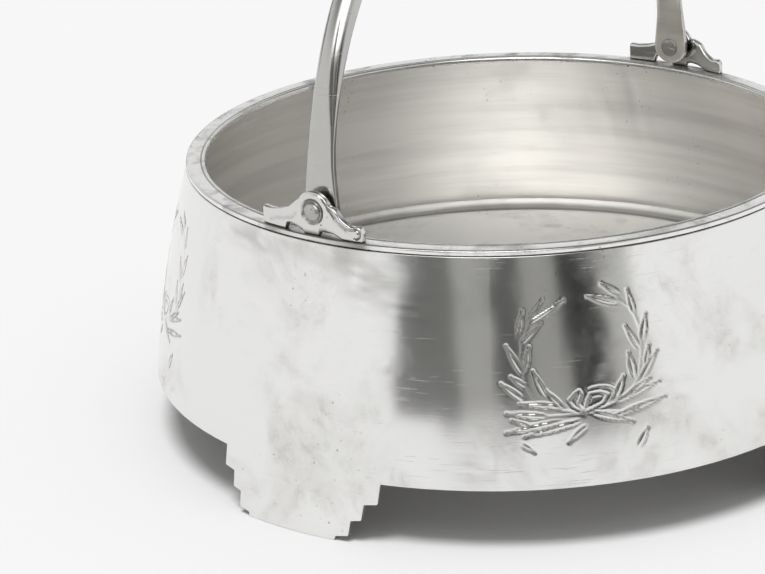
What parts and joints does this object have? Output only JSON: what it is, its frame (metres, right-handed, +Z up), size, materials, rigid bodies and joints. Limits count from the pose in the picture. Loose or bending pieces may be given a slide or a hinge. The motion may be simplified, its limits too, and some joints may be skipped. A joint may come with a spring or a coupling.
{
  "type": "sugar bowl",
  "caption": "Round silver sugar bowl with a stepped-foot wall, flat rim ring and a strap bail handle that swings on riveted lugs.",
  "frame": {"origin": "on the bowl's axis, at the height of the surface that the feet stand on", "axes": "+Z up the bowl's axis; the bail swings about a line along Y, 1.5 mm to the +X side of the bowl's axis, so one lug stands at -Y (near) and one at +Y (far)"},
  "size_m": [0.1368, 0.1368, 0.1151],
  "materials": {
    "wall_silver": "polished silver plate with a cloudy worn patina, fine scratches and engraved wreaths",
    "rim_silver": "polished, rubbed bright on its edges, with tarnish specks",
    "floor_silver": "satin, finely turned, warm grey tarnish",
    "cast_silver": "cast and hand-finished, soft edges, dark in the corners",
    "bail_silver": "polished strap, lengthwise scratches",
    "rivet_silver": "hammered, dull grey"
  },
  "bodies": {
    "bowl": {"body_wall": "wall_silver", "floor_disc": "floor_silver", "rim_ring": "rim_silver", "lug_near": "cast_silver", "lug_far": "cast_silver", "rivet_near": "rivet_silver", "rivet_far": "rivet_silver"},
    "bail": {"bail_handle": "bail_silver"}
  },
  "joints": [
    {"name": "bail_swing", "type": "hinge", "parent": "bowl", "child": "bail", "pos_m": [0.0015, 0, 0.0542], "axis": [0, 1, 0], "range_deg": [-89, 89]}
  ]
}
